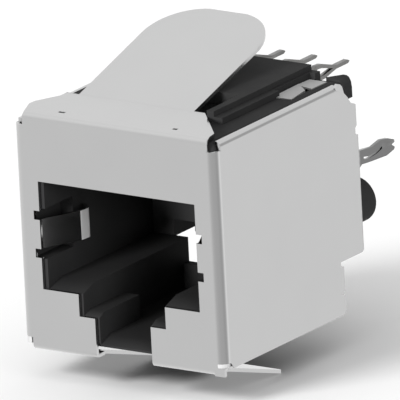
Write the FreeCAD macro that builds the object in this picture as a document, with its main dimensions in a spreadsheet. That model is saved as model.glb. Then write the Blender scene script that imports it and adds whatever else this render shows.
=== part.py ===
"""Shielded eight-contact board jack for a vertical mounting: opening to the front, board behind it.

Frame: X to the right, Y from the opening towards the board, Z up. The origin lies on the board's
face, half-way between the two locating pegs. All lengths are millimetres.
"""
import FreeCAD, Part
import Sketcher
import math
import os

from FreeCAD import Placement, Rotation, Vector

SIZES = {
    # datum heights: the upper row of tails above the pegs, the opening's top edge below that row
    "row_height": 8.89,
    "row_spacing": 2.54,
    "opening_drop": 3.8,
    "roof_rise": 0.78,
    # folded shield
    "sheet": 0.25,
    "shield_width": 16.0,
    "shield_depth": 16.65,
    "plate_height": 11.65,
    "corner_radius": 0.65,
    "fold_radius": 0.35,
    "fold_inset_left": 0.78,
    "fold_inset_right": 0.63,
    "corner_low": 10.82,
    "corner_high": 3.74,
    # stepped opening in the front plate, measured from its top edge
    "side_frame": 1.8,
    "opening_height": 7.4,
    "step_width": 6.84,
    "step_height": 1.52,
    "slot_width": 4.4,
    # side walls, heights measured from the opening's top edge
    "wall_top_drop": 0.25,
    "lip_radius": 0.4,
    "lip_start": 0.75,
    "lip_end": 2.15,
    "lip_drop": 0.63,
    "wall_upper_back": 0.12,
    "wall_back": 0.02,
    "wall_low": 11.27,
    "wall_low_run": 1.05,
    "wall_heel": 9.95,
    "heel_nick": 0.27,
    "nick_depth": 0.33,
    "wall_notch": 8.0,
    "wall_step": 7.64,
    "setback": 2.42,
    "shoulder_low": 0.4,
    "shoulder_nick": 0.5,
    "nick_back": 0.3,
    "wall_shoulder": 2.5,
    "corner_cut": 2.3,
    # plug grounding leaves, one on each side of the opening
    "leaf_drop": 2.66,
    "leaf_height": 2.0,
    "leaf_slit": 0.61,
    "leaf_slit_width": 0.45,
    "leaf_root": 1.05,
    "leaf_bend": 1.58,
    "leaf_reach": 3.0,
    "leaf_run": 2.95,
    "leaf_return": 0.65,
    # top flange and spring tongue
    "flange_depth": 5.04,
    "flange_left": 7.05,
    "flange_right": 4.0,
    "tongue_centre": -1.5,
    "tongue_width": 9.1,
    "tongue_length": 11.6,
    "tongue_angle": 15.8,
    "tongue_corner": 3.6,
    "flange_hole_width": 0.5,
    "flange_hole_small": 0.36,
    "flange_hole_length": 0.28,
    "flange_hole_y": 1.25,
    "flange_hole_left": 4.85,
    "flange_hole_right": 4.12,
    # bottom spring tongues
    "foot_tongue_start": 1.1,
    "foot_tongue_run": 7.2,
    "foot_tongue_angle": 16.8,
    "foot_tongue_corner": 0.3,
    "foot_tongue_inset": 1.0,
    "foot_tongue_relief": 0.4,
    # ear of the bottom fold under the right rolled corner
    "ear_inset": 0.07,
    "ear_width": 0.8,
    "ear_depth": 1.25,
    "ear_height": 0.55,
    # press-fit tails of the shield
    "shield_tail_slit": 0.16,
    # housing
    "wall_gap": 0.05,
    "ledge_drop": 0.38,
    "board_gap": 0.65,
    "housing_height": 11.05,
    "lower_depth": 12.68,
    "shelf_drop": 7.1,
    "notch_width": 8.72,
    "notch_drop": 5.9,
    "cavity_inset": 0.25,
    "cavity_drop": 0.1,
    "cavity_floor": 7.0,
    "cavity_depth": 12.38,
    "lead_in": 1.3,
    "lead_in_drop": 0.45,
    "latch_width": 6.5,
    "latch_floor": 8.65,
    "latch_lead_in": 0.6,
    "latch_lead_drop": 0.3,
    "latch_slot_width": 4.1,
    "latch_slot_floor": 10.3,
    "slot_lead_in": 1.0,
    "slot_lead_drop": 0.5,
    "shoulder_depth": 4.7,
    "latch_window_length": 7.0,
    "leaf_recess_depth": 3.2,
    "leaf_recess_margin": 0.72,
    "housing_radius": 0.7,
    "front_radius": 0.55,
    "peg_radius": 1.55,
    "peg_length": 2.84,
    "peg_spacing": 11.43,
    "peg_taper": 0.12,
    "peg_shoulder": 0.25,
    "peg_shoulder_gap": 0.1,
    "foot_width": 1.45,
    "foot_height": 1.6,
    "foot_radius": 0.85,
    "foot_rise": 4.32,
    "window_inset": 2.75,
    "window_width": 1.4,
    "window_back": 1.25,
    "window_length": 4.2,
    "window_depth": 0.3,
    # spring clip in each window
    "clip_thickness": 0.2,
    "clip_play": 0.05,
    "clip_seat": 0.01,
    "clip_rise": 0.2,
    "clip_rear": 1.35,
    "clip_step": 0.35,
    # contact carrier
    "carrier_inset": 3.0,
    "carrier_step_inset": 2.28,
    "carrier_rise": 0.4,
    "carrier_step": 0.37,
    "carrier_front": 4.5,
    "carrier_floor": 0.76,
    "carrier_gap": 0.05,
    "relief_back": 8.29,
    "relief_depth": 0.9,
    "relief_margin": 1.4,
    # contacts
    "contact_pitch": 1.016,
    "tail_pitch": 1.27,
    "contact_width": 0.35,
    "contact_thickness": 0.25,
    "contact_bend": 0.38,
    "tail_length": 4.32,
    "eye_rise": 0.7,
    "eye_fall": 0.42,
    "eye_strip": 0.27,
    "eye_end": 2.75,
    "jog_back": 5.9,
    "jog_front": 9.0,
    "spring_rim": 2.95,
    "spring_turn": 0.68,
    "spring_reach": 8.5,
    "spring_drop": 2.62,
    "slot_margin": 0.47,
}

NUMBER_OF_CONTACTS = 8


def make_sheet(doc):
    """Writes every size into a spreadsheet, one named cell each."""
    sheet = doc.addObject("Spreadsheet::Sheet", "Sizes")
    for row, (name, value) in enumerate(SIZES.items(), start=1):
        sheet.set(f"A{row}", name)
        sheet.set(f"B{row}", str(value))
        sheet.setAlias(f"B{row}", name)
    doc.recompute()
    return sheet


class Sizes:
    """Reads the named cells as numbers."""

    def __init__(self, cells):
        self.cells = cells

    def __getattr__(self, name):
        return float(self.cells.get(name))

    @property
    def top_height(self):
        """Top face of the shield's flange."""
        return self.row_height + self.roof_rise

    @property
    def opening_top(self):
        """Top edge of the opening in the front plate."""
        return self.row_height - self.opening_drop

    @property
    def opening_width(self):
        """Width of the opening in the front plate."""
        return self.shield_width - 2 * self.side_frame

    @property
    def base(self):
        """Lowest face of the front plate's fold."""
        return self.opening_top - self.plate_height


def straight(start, end):
    """Straight edge as a list, empty where the two points are the same."""
    return [Part.LineSegment(start, end).toShape()] if start.distanceToPoint(end) > 1e-6 else []


def ribbon(points, radii, thickness):
    """Face of a bent strip: a centre line of straight runs with an arc at each inner point."""
    centres = []
    count = len(points)
    directions = [(second - first).normalize() for first, second in zip(points, points[1:])]
    for index in range(1, count - 1):
        before, after = directions[index - 1], directions[index]
        turn = before.getAngle(after)
        tangent = radii[index - 1] * math.tan(turn / 2)
        start = points[index] - before * tangent
        side = 1 if before.cross(after).z > 0 else -1
        normal = Vector(-before.y, before.x, 0) * side
        centres.append((start + normal * radii[index - 1], side))

    def offset_line(offset):
        edges = []
        cursor = points[0] + Vector(-directions[0].y, directions[0].x, 0) * offset
        first_point = cursor
        for index, (centre, side) in enumerate(centres):
            before, after = directions[index], directions[index + 1]
            arc_radius = radii[index] - side * offset
            arc_start = centre - Vector(-before.y, before.x, 0) * side * arc_radius
            arc_end = centre - Vector(-after.y, after.x, 0) * side * arc_radius
            bisector = (arc_start - centre) + (arc_end - centre)
            arc_middle = centre + bisector.normalize() * arc_radius
            edges += straight(cursor, arc_start)
            edges.append(Part.Arc(arc_start, arc_middle, arc_end).toShape())
            cursor = arc_end
        last = points[-1] + Vector(-directions[-1].y, directions[-1].x, 0) * offset
        edges += straight(cursor, last)
        return edges, first_point, last

    near, near_start, near_end = offset_line(-thickness / 2)
    far, far_start, far_end = offset_line(thickness / 2)
    caps = [Part.LineSegment(near_end, far_end).toShape(), Part.LineSegment(far_start, near_start).toShape()]
    return Part.Face(Part.Wire(Part.__sortEdges__(near + far + caps)))


def standing(face, height):
    """Extrudes a face drawn in X and Y upwards from Z 0."""
    return face.extrude(Vector(0, 0, height))


def along_x(face, x_low, x_high):
    """Extrudes a face drawn in (Y, Z), given as (X, Y), from one X to another."""
    turned = face.copy()
    turned.transformShape(FreeCAD.Matrix(0, 0, 1, 0, 1, 0, 0, 0, 0, 1, 0, 0))
    turned.translate(Vector(x_low, 0, 0))
    return turned.extrude(Vector(x_high - x_low, 0, 0))


def along_y(face, y_low, y_high):
    """Extrudes a face drawn in (X, Z), given as (X, Y), from one Y to another."""
    turned = face.copy()
    turned.rotate(Vector(), Vector(1, 0, 0), 90)
    turned.translate(Vector(0, y_low, 0))
    return turned.extrude(Vector(0, y_high - y_low, 0))


def polygon(points):
    """Flat face with straight edges through (x, y) pairs."""
    corners = [Vector(x, y, 0) for x, y in points]
    return Part.Face(Part.makePolygon(corners + corners[:1]))


def rounded_polygon(points, radii):
    """Flat face whose corners are arcs of the given radii, zero for a sharp one."""
    corners = [Vector(x, y, 0) for x, y in points]
    count = len(corners)
    edges = []
    cursor = None
    first = None
    for index in range(count):
        corner, before, after = corners[index], corners[index - 1], corners[(index + 1) % count]
        into, out = (corner - before).normalize(), (after - corner).normalize()
        if radii[index] == 0:
            start = end = corner
            arc = None
        else:
            tangent = radii[index] * math.tan(into.getAngle(out) / 2)
            start, end = corner - into * tangent, corner + out * tangent
            inward = (out - into).normalize()
            reach = radii[index] / math.cos(into.getAngle(out) / 2)
            arc = Part.Arc(start, corner + inward * (reach - radii[index]), end).toShape()
        if cursor is not None:
            edges.append(Part.LineSegment(cursor, start).toShape())
        else:
            first = start
        if arc is not None:
            edges.append(arc)
        cursor = end
    edges.append(Part.LineSegment(cursor, first).toShape())
    return Part.Face(Part.Wire(edges))


def box(x_low, x_high, y_low, y_high, z_low, z_high):
    """Block between two corners."""
    return Part.makeBox(x_high - x_low, y_high - y_low, z_high - z_low, Vector(x_low, y_low, z_low))


def bend_plan(radius, thickness):
    """Centre-line radius of a bend given by its outer radius."""
    return radius - thickness / 2


def side_outline(s):
    """Outline of a side wall as (y, z) pairs, from the front bend round to the top."""
    front, top = -s.shield_depth, s.opening_top
    low = top - s.wall_low
    step = top - s.wall_step
    high = s.top_height - s.lip_drop
    back, nick = -s.setback, -s.setback - s.nick_depth
    heel = top - s.wall_heel
    shoulder = top + s.wall_shoulder
    chamfer = (s.corner_cut - s.wall_upper_back) / 4
    return [
        (front + s.corner_radius, top - s.corner_low), (front + s.wall_low_run, low),
        (back - 0.2, low), (back + s.wall_back, low + 0.23), (back + s.wall_back, heel), (nick, heel),
        (nick, heel + s.heel_nick), (back, heel + s.heel_nick), (back, top - s.wall_notch), (nick, top - s.wall_notch),
        (nick, step), (-0.19, step), (-s.wall_back, step + 0.15),
        (-s.wall_back, top + s.shoulder_low), (-s.nick_back, top + s.shoulder_low),
        (-s.nick_back, top + s.shoulder_low + s.shoulder_nick),
        (-s.wall_upper_back, top + s.shoulder_low + s.shoulder_nick + 0.16),
        (-s.wall_upper_back, shoulder), (-s.wall_upper_back - chamfer, shoulder + 0.25),
        (-s.wall_upper_back - 1.6 * chamfer, shoulder + 0.65), (-s.corner_cut, high), (front + s.lip_start, high),
        (front + s.lip_start, high - 0.25), (front + s.corner_radius, high - 0.25),
    ]


def tail_outline(s):
    """Outline of a press-fit tail of a side wall as (y, z) pairs, split at its tip."""
    top = s.opening_top
    return [
        (-s.wall_back, top - 0.74), (1.55, top - 0.92), (2.6, top - 0.72), (3.38, top - 0.84),
        (4.08, top - 1.1), (4.12, top - 1.28), (3.78, top - 1.38), (4.14, top - 1.64),
        (4.02, top - 1.78), (3.16, top - 1.96), (1.27, top - 1.85), (0.26, top - 1.76),
        (-s.wall_back, top - 1.93),
    ]


def tail_slit(s):
    """Narrow slit of a press-fit tail as (y, z) pairs."""
    middle = [(0.5, -1.38), (1.06, -1.5), (1.97, -1.43), (2.66, -1.26)]
    upper = [(y, s.opening_top + z + s.shield_tail_slit / 2) for y, z in middle]
    lower = [(y, s.opening_top + z - s.shield_tail_slit / 2) for y, z in reversed(middle)]
    return upper + lower


def wall(s, side, with_lip):
    """Side wall with its tail, standing on the given side of the shield."""
    outer = s.shield_width / 2
    x_low, x_high = sorted((side * (outer - s.sheet), side * outer))
    solid = along_x(polygon(side_outline(s)), x_low, x_high)
    solid = solid.fuse(along_x(polygon(tail_outline(s)), x_low, x_high))
    solid = solid.cut(along_x(polygon(tail_slit(s)), x_low, x_high))
    if with_lip:
        solid = solid.fuse(wall_lip(s, side))
    return solid


def wall_lip(s, side):
    """Narrow lip folded inwards along the top of a wall."""
    middle = side * (s.shield_width / 2 - s.sheet / 2)
    inner = side * (s.shield_width / 2 - s.lip_radius)
    top = s.top_height - s.wall_top_drop - s.sheet / 2
    face = ribbon(
        [Vector(middle, s.top_height - s.lip_drop, 0), Vector(middle, top, 0), Vector(inner, top, 0)],
        [bend_plan(s.lip_radius, s.sheet) - 0.02], s.sheet)
    return along_y(face, -s.shield_depth + s.lip_start, -s.lip_end)


def front_plate(s):
    """Front plate with the stepped opening, the notches beside the leaves and the rolled corners."""
    half, front = s.shield_width / 2, -s.shield_depth
    centre = half - s.sheet / 2
    bend = bend_plan(s.corner_radius, s.sheet)
    plan = ribbon(
        [Vector(-centre, front + s.corner_radius, 0), Vector(-centre, front + s.sheet / 2, 0),
         Vector(centre, front + s.sheet / 2, 0), Vector(centre, front + s.corner_radius, 0)],
        [bend, bend], s.sheet)
    top = s.opening_top
    solid = standing(plan, s.top_height - s.base).translated(Vector(0, 0, s.base))
    keep = box(-half + s.fold_inset_left, half - s.fold_inset_right, front - 1, front + 2,
               s.base + s.fold_radius, s.top_height - s.fold_radius)
    keep = keep.fuse(box(-half, half, front - 1, front + 2, top - s.corner_low, top + s.corner_high))
    solid = solid.common(keep)
    for width, depth in ((s.opening_width, s.opening_height), (s.step_width, s.opening_height + s.step_height),
                         (s.slot_width, 2 * s.plate_height)):
        solid = solid.cut(box(-width / 2, width / 2, front - 1, front + 1, top - depth, top))
    for side in (-1, 1):
        for drop in (s.leaf_drop - s.leaf_slit, s.leaf_drop + s.leaf_height):
            x_low, x_high = sorted((side * (s.opening_width / 2 - 0.2),
                                    side * (s.opening_width / 2 + s.leaf_slit_width)))
            solid = solid.cut(box(x_low, x_high, front - 1, front + 1, top - drop - s.leaf_slit, top - drop))
    return solid


def plug_leaf(s, side):
    """Leaf at the side of the opening, folded into the cavity, that touches a shielded plug."""
    front, half = -s.shield_depth, s.shield_width / 2
    middle = front + s.sheet / 2
    points = [Vector(side * (half - s.leaf_root), middle, 0), Vector(side * (half - s.leaf_bend), middle, 0),
              Vector(side * (half - s.leaf_reach + 0.02), front + s.leaf_run, 0),
              Vector(side * (half - s.leaf_reach - 0.07), front + s.leaf_run + 0.75, 0),
              Vector(side * (half - s.leaf_reach + 0.6), front + s.leaf_run + 0.75 + s.leaf_return, 0)]
    face = ribbon(points, [0.3, 0.6, 0.3], s.sheet)
    low = s.opening_top - s.leaf_drop - s.leaf_height
    return standing(face, s.leaf_height).translated(Vector(0, 0, low))


def top_flange(s):
    """Top flange with the wide spring tongue that rises from its rear edge."""
    front, half = -s.shield_depth, s.shield_width / 2
    level = s.top_height - s.sheet / 2
    angle = math.radians(s.tongue_angle)
    root = front + s.flange_depth
    end = Vector(root + s.tongue_length * math.cos(angle), level + s.tongue_length * math.sin(angle), 0)
    face = ribbon(
        [Vector(front + s.sheet / 2, s.top_height - s.fold_radius, 0), Vector(front + s.sheet / 2, level, 0),
         Vector(root, level, 0), end],
        [bend_plan(s.fold_radius, s.sheet), 1.5], s.sheet)
    solid = along_x(face, -half - 1, half + 1)
    left, right = s.tongue_centre - s.tongue_width / 2, s.tongue_centre + s.tongue_width / 2
    tip = root + s.tongue_length * math.cos(angle)
    edge_left, edge_right = -half + s.fold_inset_left, half - s.fold_inset_right
    flange = polygon([
        (edge_right, front - 1), (edge_right, front + 0.2), (edge_right - 0.2, front + 0.8),
        (edge_right - 0.34, front + 1.52), (s.flange_right, root - 0.07), (s.flange_right - 0.1, root),
        (right, root), (left, root), (-s.flange_left, root + 0.06), (-s.flange_left, root - 0.66),
        (-half + 0.1, front + 2.63), (-half + 0.05, front + 2.0), (edge_left, front + 0.2), (edge_left, front - 1)])
    corner = s.tongue_corner
    tongue = rounded_polygon(
        [(left, root - 0.3), (right, root - 0.3), (right, tip), (left, tip)], [0, 0, corner, corner])
    mask = standing(flange, 2 * end.y).fuse(standing(tongue, 2 * end.y))
    solid = solid.common(mask)
    row = front + s.flange_hole_y
    for x, width in ((-s.flange_hole_left, s.flange_hole_width), (s.flange_hole_right, s.flange_hole_small)):
        solid = solid.cut(box(x - width / 2, x + width / 2, row - s.flange_hole_length / 2,
                              row + s.flange_hole_length / 2, level - 1, level + 1))
    return solid


def bottom_tongue(s, side):
    """Spring tongue under one side of the slot, folded back from the front plate and sloping down."""
    front, half = -s.shield_depth, s.shield_width / 2
    level = s.base + s.sheet / 2
    angle = math.radians(s.foot_tongue_angle)
    start = front + s.foot_tongue_start
    run, fall = s.foot_tongue_run * math.cos(angle), s.foot_tongue_run * math.sin(angle)
    face = ribbon(
        [Vector(front + s.sheet / 2, s.base + s.fold_radius, 0), Vector(front + s.sheet / 2, level, 0),
         Vector(start, level, 0), Vector(start + run, level - fall, 0)],
        [bend_plan(s.fold_radius, s.sheet), 1.0], s.sheet)
    inner = s.slot_width / 2
    outer = half - (s.fold_inset_left if side < 0 else s.fold_inset_right)
    x_low, x_high = sorted((side * inner, side * outer))
    solid = along_x(face, x_low, x_high)
    root, tip = start - 0.15, start + run
    edge_low, edge_high = sorted((side * (inner + s.foot_tongue_relief), side * (half - s.foot_tongue_inset)))
    corner = s.foot_tongue_corner
    blade = rounded_polygon([(edge_low, root - 0.1), (edge_high, root - 0.1), (edge_high, tip), (edge_low, tip)],
                            [0, 0, corner, corner])
    fold = polygon([(x_low, front - 1), (x_high, front - 1), (x_high, root), (x_low, root)])
    reach = fall + 2 * s.fold_radius
    mask = standing(blade, 2 * reach).fuse(standing(fold, 2 * reach)).translated(Vector(0, 0, s.base - reach))
    return solid.common(mask)


def bottom_ear(s):
    """Small ear of the bottom fold under the right rolled corner."""
    front = -s.shield_depth
    x_high = s.shield_width / 2 - s.ear_inset
    x_low = x_high - s.ear_width
    level = s.base + s.ear_height
    flat = box(x_low, x_high, front, front + s.ear_depth, level - s.sheet, level)
    return flat.fuse(box(x_low, x_high, front, front + s.sheet, s.base, level))


def shield_shape(s):
    """One folded sheet: front plate, walls, flange with tongue, bottom tongues and leaves."""
    solid = front_plate(s)
    for side in (-1, 1):
        solid = solid.fuse(wall(s, side, side > 0))
        solid = solid.fuse(plug_leaf(s, side))
        solid = solid.fuse(bottom_tongue(s, side))
    solid = solid.fuse(bottom_ear(s)).fuse(top_flange(s))
    return solid.removeSplitter()


def contact_path(s, index):
    """Places of one contact: tail column, tail row height and column in the plug cavity."""
    tail_x = (index - 3.5) * s.tail_pitch
    plug_x = (index - 3.5) * s.contact_pitch
    row = s.row_height if index % 2 else s.row_height - s.row_spacing
    return tail_x, row, plug_x


def contact_tail(s, tail_x, row):
    """Press-fit tail: a stem, an eye beyond the board's face and a straight tip."""
    half, width = s.contact_thickness / 2, s.contact_width / 2
    tip, end = s.tail_length, s.eye_end
    up, down = s.eye_rise, s.eye_fall
    outer = polygon([(-0.1, row - half), (0.2 * end, row - down), (0.5 * end, row - down), (end, row - half),
                     (tip - 0.2, row - half), (tip, row - half + 0.12), (tip, row + half - 0.12),
                     (tip - 0.2, row + half), (end, row + half), (0.4 * end, row + up - 0.04),
                     (0.17 * end, row + up), (-0.1, row + half)])
    up, down = up - s.eye_strip, down - s.eye_strip
    inner = polygon([(0.06 * end, row + 0.02), (0.24 * end, row - down), (0.48 * end, row - down),
                     (0.86 * end, row + 0.02), (0.39 * end, row + up - 0.04), (0.21 * end, row + up)])
    stem = box(tail_x - width, tail_x + width, -s.jog_back - 0.1, 0.3, row - half, row + half)
    eye = along_x(outer, tail_x - width, tail_x + width).cut(along_x(inner, tail_x - width, tail_x + width))
    return stem.cut(along_x(inner, tail_x - width, tail_x + width)).fuse(eye)


def contact_jog(s, tail_x, plug_x, row):
    """Slanted run inside the carrier from the tail's column to the cavity's column."""
    width, half = s.contact_width / 2, s.contact_thickness / 2
    back, front = -s.jog_back, -s.jog_front
    plan = polygon([(tail_x - width, back), (tail_x + width, back), (plug_x + width, front), (plug_x - width, front)])
    return standing(plan, 2 * half).translated(Vector(0, 0, row - half))


def contact_spring(s, plug_x, row):
    """Spring end: forward along the carrier, down behind the opening's rim and back into the cavity."""
    rim = -s.shield_depth + s.spring_rim
    turn = s.row_height - s.row_spacing - s.spring_turn
    points = [Vector(-s.jog_front, row, 0), Vector(rim, row, 0), Vector(rim, turn, 0),
              Vector(-s.shield_depth + s.spring_reach, s.opening_top - s.spring_drop, 0)]
    face = ribbon(points, [s.contact_bend, s.contact_bend], s.contact_thickness)
    return along_x(face, plug_x - s.contact_width / 2, plug_x + s.contact_width / 2)


def contact_shape(s, index):
    """One stamped contact from its board tail to its spring end."""
    tail_x, row, plug_x = contact_path(s, index)
    solid = contact_tail(s, tail_x, row)
    solid = solid.fuse(contact_jog(s, tail_x, plug_x, row))
    solid = solid.fuse(contact_spring(s, plug_x, row))
    return solid.removeSplitter()


def clip_shape(s, side):
    """Spring clip in the window: its valley rests on the floor, its rear leaf lies level with the ledge."""
    thickness = s.clip_thickness
    floor = s.top_height - s.ledge_drop - s.window_depth
    back = -s.window_back - s.clip_play
    front = -s.window_back - s.window_length + s.clip_play
    valley = back - s.clip_rear - s.clip_step
    level = floor + thickness / 2
    points = [Vector(front, level + s.clip_rise, 0), Vector(valley, level, 0),
              Vector(valley + s.clip_step, level + s.clip_rise, 0), Vector(back, level + s.clip_rise, 0)]
    face = ribbon(points, [0.13, 0.13], thickness)
    face.translate(Vector(0, floor - face.optimalBoundingBox(False).YMin + s.clip_seat, 0))
    inner = s.shield_width / 2 - s.window_inset + s.clip_play
    x_low, x_high = sorted((side * inner, side * (inner + s.window_width - 2 * s.clip_play)))
    return along_x(face, x_low, x_high)


ROLES = {"XY": "XY_Plane", "XZ": "XZ_Plane", "YZ": "YZ_Plane"}


def attach(body, sketch, plane, offset):
    """Lays a sketch on one of the body's own planes, moved along its normal by an expression."""
    for feature in body.Origin.OriginFeatures:
        if feature.Role == ROLES[plane]:
            sketch.AttachmentSupport = (feature, [""])
    sketch.MapMode = "FlatFace"
    sketch.setExpression(".AttachmentOffset.Base.z", offset)


def polygon_sketch(body, label, plane, offset, points):
    """Closed polygon whose corners are tied to the sheet by one expression for each coordinate."""
    sketch = body.newObject("Sketcher::SketchObject", label)
    attach(body, sketch, plane, offset)
    corners = [Vector(sketch.evalExpression(x), sketch.evalExpression(y), 0) for x, y in points]
    count = len(corners)
    for index in range(count):
        sketch.addGeometry(Part.LineSegment(corners[index], corners[(index + 1) % count]), False)
    for index in range(count):
        sketch.addConstraint(Sketcher.Constraint("Coincident", index, 2, (index + 1) % count, 1))
    for index, (x, y) in enumerate(points):
        for kind, value, text in (("DistanceX", corners[index].x, x), ("DistanceY", corners[index].y, y)):
            number = sketch.addConstraint(Sketcher.Constraint(kind, -1, 1, index, 1, value))
            sketch.setExpression(f"Constraints[{number}]", text)
    return sketch


def rectangle(body, label, plane, offset, low, high):
    """Rectangle between two corners, each a pair of expressions."""
    corners = [low, (high[0], low[1]), high, (low[0], high[1])]
    return polygon_sketch(body, label, plane, offset, corners)


def circle_sketch(body, label, offset, x, y, radius):
    """Circle on the XZ plane, tied to the sheet."""
    sketch = body.newObject("Sketcher::SketchObject", label)
    attach(body, sketch, "XZ", offset)
    centre = Vector(sketch.evalExpression(x), sketch.evalExpression(y), 0)
    sketch.addGeometry(Part.Circle(centre, Vector(0, 0, 1), sketch.evalExpression(radius)), False)
    constraints = (("DistanceX", -1, 1, 0, 3, centre.x), ("DistanceY", -1, 1, 0, 3, centre.y))
    for constraint, text in zip(constraints, (x, y)):
        number = sketch.addConstraint(Sketcher.Constraint(*constraint))
        sketch.setExpression(f"Constraints[{number}]", text)
    number = sketch.addConstraint(Sketcher.Constraint("Radius", 0, sketch.evalExpression(radius)))
    sketch.setExpression(f"Constraints[{number}]", radius)
    return sketch


def feature(body, kind, sketch, length, midplane=False, backwards=False):
    """Pad or pocket of a sketch with its length tied to the sheet."""
    made = body.newObject(f"PartDesign::{kind}", f"{kind}_{sketch.Name}")
    made.Profile = sketch
    made.Midplane = midplane
    made.Reversed = backwards
    made.setExpression("Length", length)
    body.Document.recompute()
    return made


def edges_where(shape, test):
    """Names of the edges whose two ends both pass a test."""
    return [f"Edge{number}" for number, edge in enumerate(shape.Edges, start=1)
            if len(edge.Vertexes) == 2 and all(test(vertex.Point) for vertex in edge.Vertexes)]


TOP = "(Sizes.row_height + Sizes.roof_rise)"
OPENING = "(Sizes.row_height - Sizes.opening_drop)"
LEDGE = f"({TOP} - Sizes.ledge_drop)"
FRONT = "-Sizes.shield_depth"
FACE = "(-Sizes.shield_depth + Sizes.sheet + Sizes.wall_gap)"
SIDE = "(Sizes.shield_width / 2 - Sizes.sheet - Sizes.wall_gap)"
STEP = "(Sizes.shield_width / 2 - Sizes.carrier_step_inset)"


def make_housing(doc, s):
    """Moulded housing: plug cavity, latch channel, carrier recess, standoff feet and pegs."""
    body = doc.addObject("PartDesign::Body", "housing")
    back = "-Sizes.board_gap"
    lower_back = f"{FRONT} + Sizes.lower_depth"
    base, shelf = f"{OPENING} - Sizes.housing_height", f"{OPENING} - Sizes.shelf_drop"
    block = polygon_sketch(body, "side_profile", "YZ", "0", [
        (FACE, base), (lower_back, base), (lower_back, shelf), (back, shelf), (back, LEDGE), (FACE, LEDGE)])
    pad = feature(body, "Pad", block, f"2 * {SIDE}", midplane=True)
    half, top, nose = (sketch_value(block, text) for text in (SIDE, LEDGE, FACE))
    fillet = body.newObject("PartDesign::Fillet", "top_edges")
    fillet.Base = (pad, edges_where(pad.Shape, lambda p: abs(abs(p.x) - half) < 0.01 and abs(p.z - top) < 0.01))
    fillet.setExpression("Radius", "Sizes.housing_radius")
    doc.recompute()
    corners = body.newObject("PartDesign::Fillet", "front_corners")
    corners.Base = (fillet, edges_where(fillet.Shape, lambda p: abs(abs(p.x) - half) < 0.01 and abs(p.y - nose) < 0.01))
    corners.setExpression("Radius", "Sizes.front_radius")
    doc.recompute()
    cut_cavity(body)
    cut_latch(body)
    carrier = rectangle(body, "carrier_recess", "XY", LEDGE, (f"-{STEP}", f"{FRONT} + Sizes.carrier_front"),
                        (STEP, "1"))
    floor = "(Sizes.row_height - Sizes.row_spacing - Sizes.carrier_floor)"
    feature(body, "Pocket", carrier, f"{LEDGE} - {floor}")
    reach = "(3.5 * Sizes.contact_pitch + Sizes.contact_width / 2 + Sizes.slot_margin)"
    slit = rectangle(body, "contact_slot", "XY", LEDGE, (f"-{reach}", f"{FRONT} + Sizes.spring_rim - 0.85"),
                     (reach, f"{FRONT} + Sizes.carrier_front"))
    feature(body, "Pocket", slit, f"{LEDGE} - {OPENING} + 0.5")
    for name, sign in (("left", "-"), ("right", "")):
        cut_side(body, name, sign)
        add_peg(body, name, f"{sign}Sizes.peg_spacing / 2")
        add_foot(body, s, name, sign)
    body.Label = "housing"
    return body


def cut_cavity(body):
    """Plug cavity with its sloped lip, and the notch under the rear block that opens it to the back."""
    floor = f"{OPENING} - Sizes.cavity_floor"
    half = "(Sizes.shield_width / 2 - Sizes.side_frame - Sizes.cavity_inset)"
    cavity = rectangle(body, "cavity", "XZ", f"-{FACE}", (f"-{half}", floor), (half, f"{OPENING} - Sizes.cavity_drop"))
    feature(body, "Pocket", cavity, "Sizes.cavity_depth")
    slope = polygon_sketch(body, "cavity_lead_in", "YZ", "0", [
        (FACE, f"{floor} - Sizes.lead_in_drop"), (f"{FACE} + Sizes.lead_in", floor), (FACE, floor)])
    feature(body, "Pocket", slope, f"2 * {half}", midplane=True)
    notch = rectangle(body, "rear_notch", "XZ", "Sizes.shield_depth - Sizes.lower_depth",
                      ("-Sizes.notch_width / 2", f"{OPENING} - Sizes.shelf_drop - 0.5"),
                      ("Sizes.notch_width / 2", f"{OPENING} - Sizes.notch_drop"))
    feature(body, "Pocket", notch, "Sizes.shield_depth")


def cut_latch(body):
    """Channel, slot and window for the plug's latch, each with its sloped lip."""
    top = f"{OPENING} - Sizes.cavity_floor + 0.5"
    floor, slot_floor = f"({OPENING} - Sizes.latch_floor)", f"({OPENING} - Sizes.latch_slot_floor)"
    channel = rectangle(body, "latch_channel", "XZ", f"-{FACE}", ("-Sizes.latch_width / 2", floor),
                        ("Sizes.latch_width / 2", top))
    feature(body, "Pocket", channel, "Sizes.shield_depth")
    step = polygon_sketch(body, "latch_lead_in", "YZ", "0", [
        (FACE, f"{floor} - Sizes.latch_lead_drop"), (f"{FACE} + Sizes.latch_lead_in", floor), (FACE, floor)])
    feature(body, "Pocket", step, "Sizes.latch_width", midplane=True)
    slot = rectangle(body, "latch_slot", "XZ", f"-{FACE}", ("-Sizes.latch_slot_width / 2", slot_floor),
                     ("Sizes.latch_slot_width / 2", f"{floor} + 0.5"))
    feature(body, "Pocket", slot, "Sizes.shoulder_depth + 0.5")
    lip = polygon_sketch(body, "slot_lead_in", "YZ", "0", [
        (FACE, f"{slot_floor} - Sizes.slot_lead_drop"), (f"{FACE} + Sizes.slot_lead_in", slot_floor), (FACE, slot_floor)])
    feature(body, "Pocket", lip, "Sizes.latch_slot_width", midplane=True)
    window = rectangle(body, "latch_window", "XZ", f"-{FACE} - Sizes.shoulder_depth",
                       ("-Sizes.latch_width / 2", slot_floor), ("Sizes.latch_width / 2", f"{floor} + 0.5"))
    feature(body, "Pocket", window, "Sizes.latch_window_length")


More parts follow.
